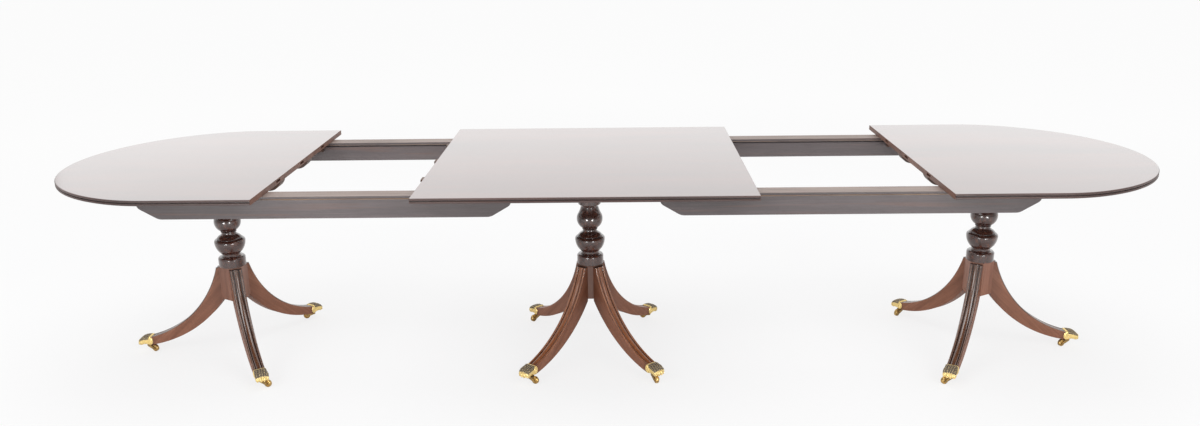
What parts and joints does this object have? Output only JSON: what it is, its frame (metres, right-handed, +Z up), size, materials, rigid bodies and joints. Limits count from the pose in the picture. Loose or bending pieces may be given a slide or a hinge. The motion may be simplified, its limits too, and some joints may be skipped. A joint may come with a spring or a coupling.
{
  "type": "dining table",
  "caption": "Long dining table on turned pedestals with reeded sabre legs and brass paw castors; D-shaped ends slide apart on loose rails to take leaves.",
  "frame": {"origin": "middle of the table's bounding box, on the floor", "axes": "+X along the table to its right end, +Y away from the front, +Z up"},
  "size_m": [3.8658, 1.07, 0.75],
  "materials": {
    "polished_mahogany": "high polish",
    "mahogany": "polished",
    "frame_wood": "oiled",
    "rail_wood": "satin",
    "brass": "worn, with dark patina",
    "steel": "dull"
  },
  "bodies": {
    "centre_section": {"centre_top": "polished_mahogany", "centre_front_bearer": "frame_wood", "centre_back_bearer": "frame_wood", "centre_head_block": "frame_wood", "centre_rail_guides": "frame_wood", "centre_screws": "steel", "centre_column": "mahogany", "centre_paw_shoes": "brass", "centre_front_left_leg": "mahogany", "centre_front_right_leg": "mahogany", "centre_back_left_leg": "mahogany", "centre_back_right_leg": "mahogany", "leaf_tongues": "frame_wood"},
    "left_end": {"left_top": "polished_mahogany", "left_front_bearer": "frame_wood", "left_back_bearer": "frame_wood", "left_head_block": "frame_wood", "left_rail_guides": "frame_wood", "left_screws": "steel", "left_column": "mahogany", "left_paw_shoes": "brass", "left_outer_leg": "mahogany", "left_front_leg": "mahogany", "left_back_leg": "mahogany"},
    "right_end": {"right_top": "polished_mahogany", "right_front_bearer": "frame_wood", "right_back_bearer": "frame_wood", "right_head_block": "frame_wood", "right_rail_guides": "frame_wood", "right_screws": "steel", "right_column": "mahogany", "right_paw_shoes": "brass", "right_outer_leg": "mahogany", "right_front_leg": "mahogany", "right_back_leg": "mahogany"},
    "left_front_rail": {"left_front_rail": "rail_wood"},
    "left_back_rail": {"left_back_rail": "rail_wood"},
    "right_front_rail": {"right_front_rail": "rail_wood"},
    "right_back_rail": {"right_back_rail": "rail_wood"},
    "left_outer_castor": {"left_outer_castor_fork": "brass"},
    "left_outer_wheel": {"left_outer_castor_wheel": "brass"},
    "left_front_castor": {"left_front_castor_fork": "brass"},
    "left_front_wheel": {"left_front_castor_wheel": "brass"},
    "left_back_castor": {"left_back_castor_fork": "brass"},
    "left_back_wheel": {"left_back_castor_wheel": "brass"},
    "centre_front_left_castor": {"centre_front_left_castor_fork": "brass"},
    "centre_front_left_wheel": {"centre_front_left_castor_wheel": "brass"},
    "centre_front_right_castor": {"centre_front_right_castor_fork": "brass"},
    "centre_front_right_wheel": {"centre_front_right_castor_wheel": "brass"},
    "centre_back_left_castor": {"centre_back_left_castor_fork": "brass"},
    "centre_back_left_wheel": {"centre_back_left_castor_wheel": "brass"},
    "centre_back_right_castor": {"centre_back_right_castor_fork": "brass"},
    "centre_back_right_wheel": {"centre_back_right_castor_wheel": "brass"},
    "right_outer_castor": {"right_outer_castor_fork": "brass"},
    "right_outer_wheel": {"right_outer_castor_wheel": "brass"},
    "right_front_castor": {"right_front_castor_fork": "brass"},
    "right_front_wheel": {"right_front_castor_wheel": "brass"},
    "right_back_castor": {"right_back_castor_fork": "brass"},
    "right_back_wheel": {"right_back_castor_wheel": "brass"}
  },
  "joints": [
    {"name": "left_end_slide", "type": "slide", "parent": "centre_section", "child": "left_end", "axis": [1, 0, 0], "range_m": [-0.1, 0.4995]},
    {"name": "right_end_slide", "type": "slide", "parent": "centre_section", "child": "right_end", "axis": [-1, 0, 0], "range_m": [-0.1, 0.5995]},
    {"name": "left_front_rail_slide", "type": "slide", "parent": "centre_section", "child": "left_front_rail", "axis": [1, 0, 0], "range_m": [-0.05, 0.22]},
    {"name": "left_back_rail_slide", "type": "slide", "parent": "centre_section", "child": "left_back_rail", "axis": [1, 0, 0], "range_m": [-0.05, 0.22]},
    {"name": "right_front_rail_slide", "type": "slide", "parent": "centre_section", "child": "right_front_rail", "axis": [-1, 0, 0], "range_m": [-0.05, 0.26]},
    {"name": "right_back_rail_slide", "type": "slide", "parent": "centre_section", "child": "right_back_rail", "axis": [-1, 0, 0], "range_m": [-0.05, 0.26]},
    {"name": "left_outer_swivel", "type": "hinge", "parent": "left_end", "child": "left_outer_castor", "pos_m": [-1.761, 0, 0.029], "axis": [0, 0, 1], "continuous": true},
    {"name": "left_outer_roll", "type": "hinge", "parent": "left_outer_castor", "child": "left_outer_wheel", "pos_m": [-1.73689, -0.00974, 0.0135], "axis": [0.3746, 0.9272, 0], "continuous": true},
    {"name": "left_front_swivel", "type": "hinge", "parent": "left_end", "child": "left_front_castor", "pos_m": [-1.2195, -0.31263, 0.029], "axis": [0, 0, 1], "continuous": true},
    {"name": "left_front_roll", "type": "hinge", "parent": "left_front_castor", "child": "left_front_wheel", "pos_m": [-1.19439, -0.31936, 0.0135], "axis": [0.2588, 0.9659, 0], "continuous": true},
    {"name": "left_back_swivel", "type": "hinge", "parent": "left_end", "child": "left_back_castor", "pos_m": [-1.2195, 0.31263, 0.029], "axis": [0, 0, 1], "continuous": true},
    {"name": "left_back_roll", "type": "hinge", "parent": "left_back_castor", "child": "left_back_wheel", "pos_m": [-1.2451, 0.30812, 0.0135], "axis": [0.1736, -0.9848, 0], "continuous": true},
    {"name": "centre_front_left_swivel", "type": "hinge", "parent": "centre_section", "child": "centre_front_left_castor", "pos_m": [-0.26473, -0.29019, 0.029], "axis": [0, 0, 1], "continuous": true},
    {"name": "centre_front_left_roll", "type": "hinge", "parent": "centre_front_left_castor", "child": "centre_front_left_wheel", "pos_m": [-0.24343, -0.30511, 0.0135], "axis": [0.5736, 0.8192, 0], "continuous": true},
    {"name": "centre_front_right_swivel", "type": "hinge", "parent": "centre_section", "child": "centre_front_right_castor", "pos_m": [0.17719, -0.28055, 0.029], "axis": [0, 0, 1], "continuous": true},
    {"name": "centre_front_right_roll", "type": "hinge", "parent": "centre_front_right_castor", "child": "centre_front_right_wheel", "pos_m": [0.18608, -0.30498, 0.0135], "axis": [0.9397, 0.342, 0], "continuous": true},
    {"name": "centre_back_left_swivel", "type": "hinge", "parent": "centre_section", "child": "centre_back_left_castor", "pos_m": [-0.27719, 0.28055, 0.029], "axis": [0, 0, 1], "continuous": true},
    {"name": "centre_back_left_roll", "type": "hinge", "parent": "centre_back_left_castor", "child": "centre_back_left_wheel", "pos_m": [-0.29424, 0.26093, 0.0135], "axis": [0.7547, -0.6561, 0], "continuous": true},
    {"name": "centre_back_right_swivel", "type": "hinge", "parent": "centre_section", "child": "centre_back_right_castor", "pos_m": [0.17719, 0.28055, 0.029], "axis": [0, 0, 1], "continuous": true},
    {"name": "centre_back_right_roll", "type": "hinge", "parent": "centre_back_right_castor", "child": "centre_back_right_wheel", "pos_m": [0.15513, 0.29433, 0.0135], "axis": [-0.5299, -0.848, 0], "continuous": true},
    {"name": "right_outer_swivel", "type": "hinge", "parent": "right_end", "child": "right_outer_castor", "pos_m": [1.761, 0, 0.029], "axis": [0, 0, 1], "continuous": true},
    {"name": "right_outer_roll", "type": "hinge", "parent": "right_outer_castor", "child": "right_outer_wheel", "pos_m": [1.73725, -0.01057, 0.0135], "axis": [0.4067, -0.9135, 0], "continuous": true},
    {"name": "right_front_swivel", "type": "hinge", "parent": "right_end", "child": "right_front_castor", "pos_m": [1.2195, -0.31263, 0.029], "axis": [0, 0, 1], "continuous": true},
    {"name": "right_front_roll", "type": "hinge", "parent": "right_front_castor", "child": "right_front_wheel", "pos_m": [1.19557, -0.32279, 0.0135], "axis": [0.3907, -0.9205, 0], "continuous": true},
    {"name": "right_back_swivel", "type": "hinge", "parent": "right_end", "child": "right_back_castor", "pos_m": [1.2195, 0.31263, 0.029], "axis": [0, 0, 1], "continuous": true},
    {"name": "right_back_roll", "type": "hinge", "parent": "right_back_castor", "child": "right_back_wheel", "pos_m": [1.19988, 0.29558, 0.0135], "axis": [0.6561, -0.7547, 0], "continuous": true}
  ],
  "couplings": [
    {"joint": "left_front_rail_slide", "follows": "left_end_slide", "ratio": 0.42},
    {"joint": "left_back_rail_slide", "follows": "left_end_slide", "ratio": 0.42},
    {"joint": "right_front_rail_slide", "follows": "right_end_slide", "ratio": 0.42},
    {"joint": "right_back_rail_slide", "follows": "right_end_slide", "ratio": 0.42}
  ]
}
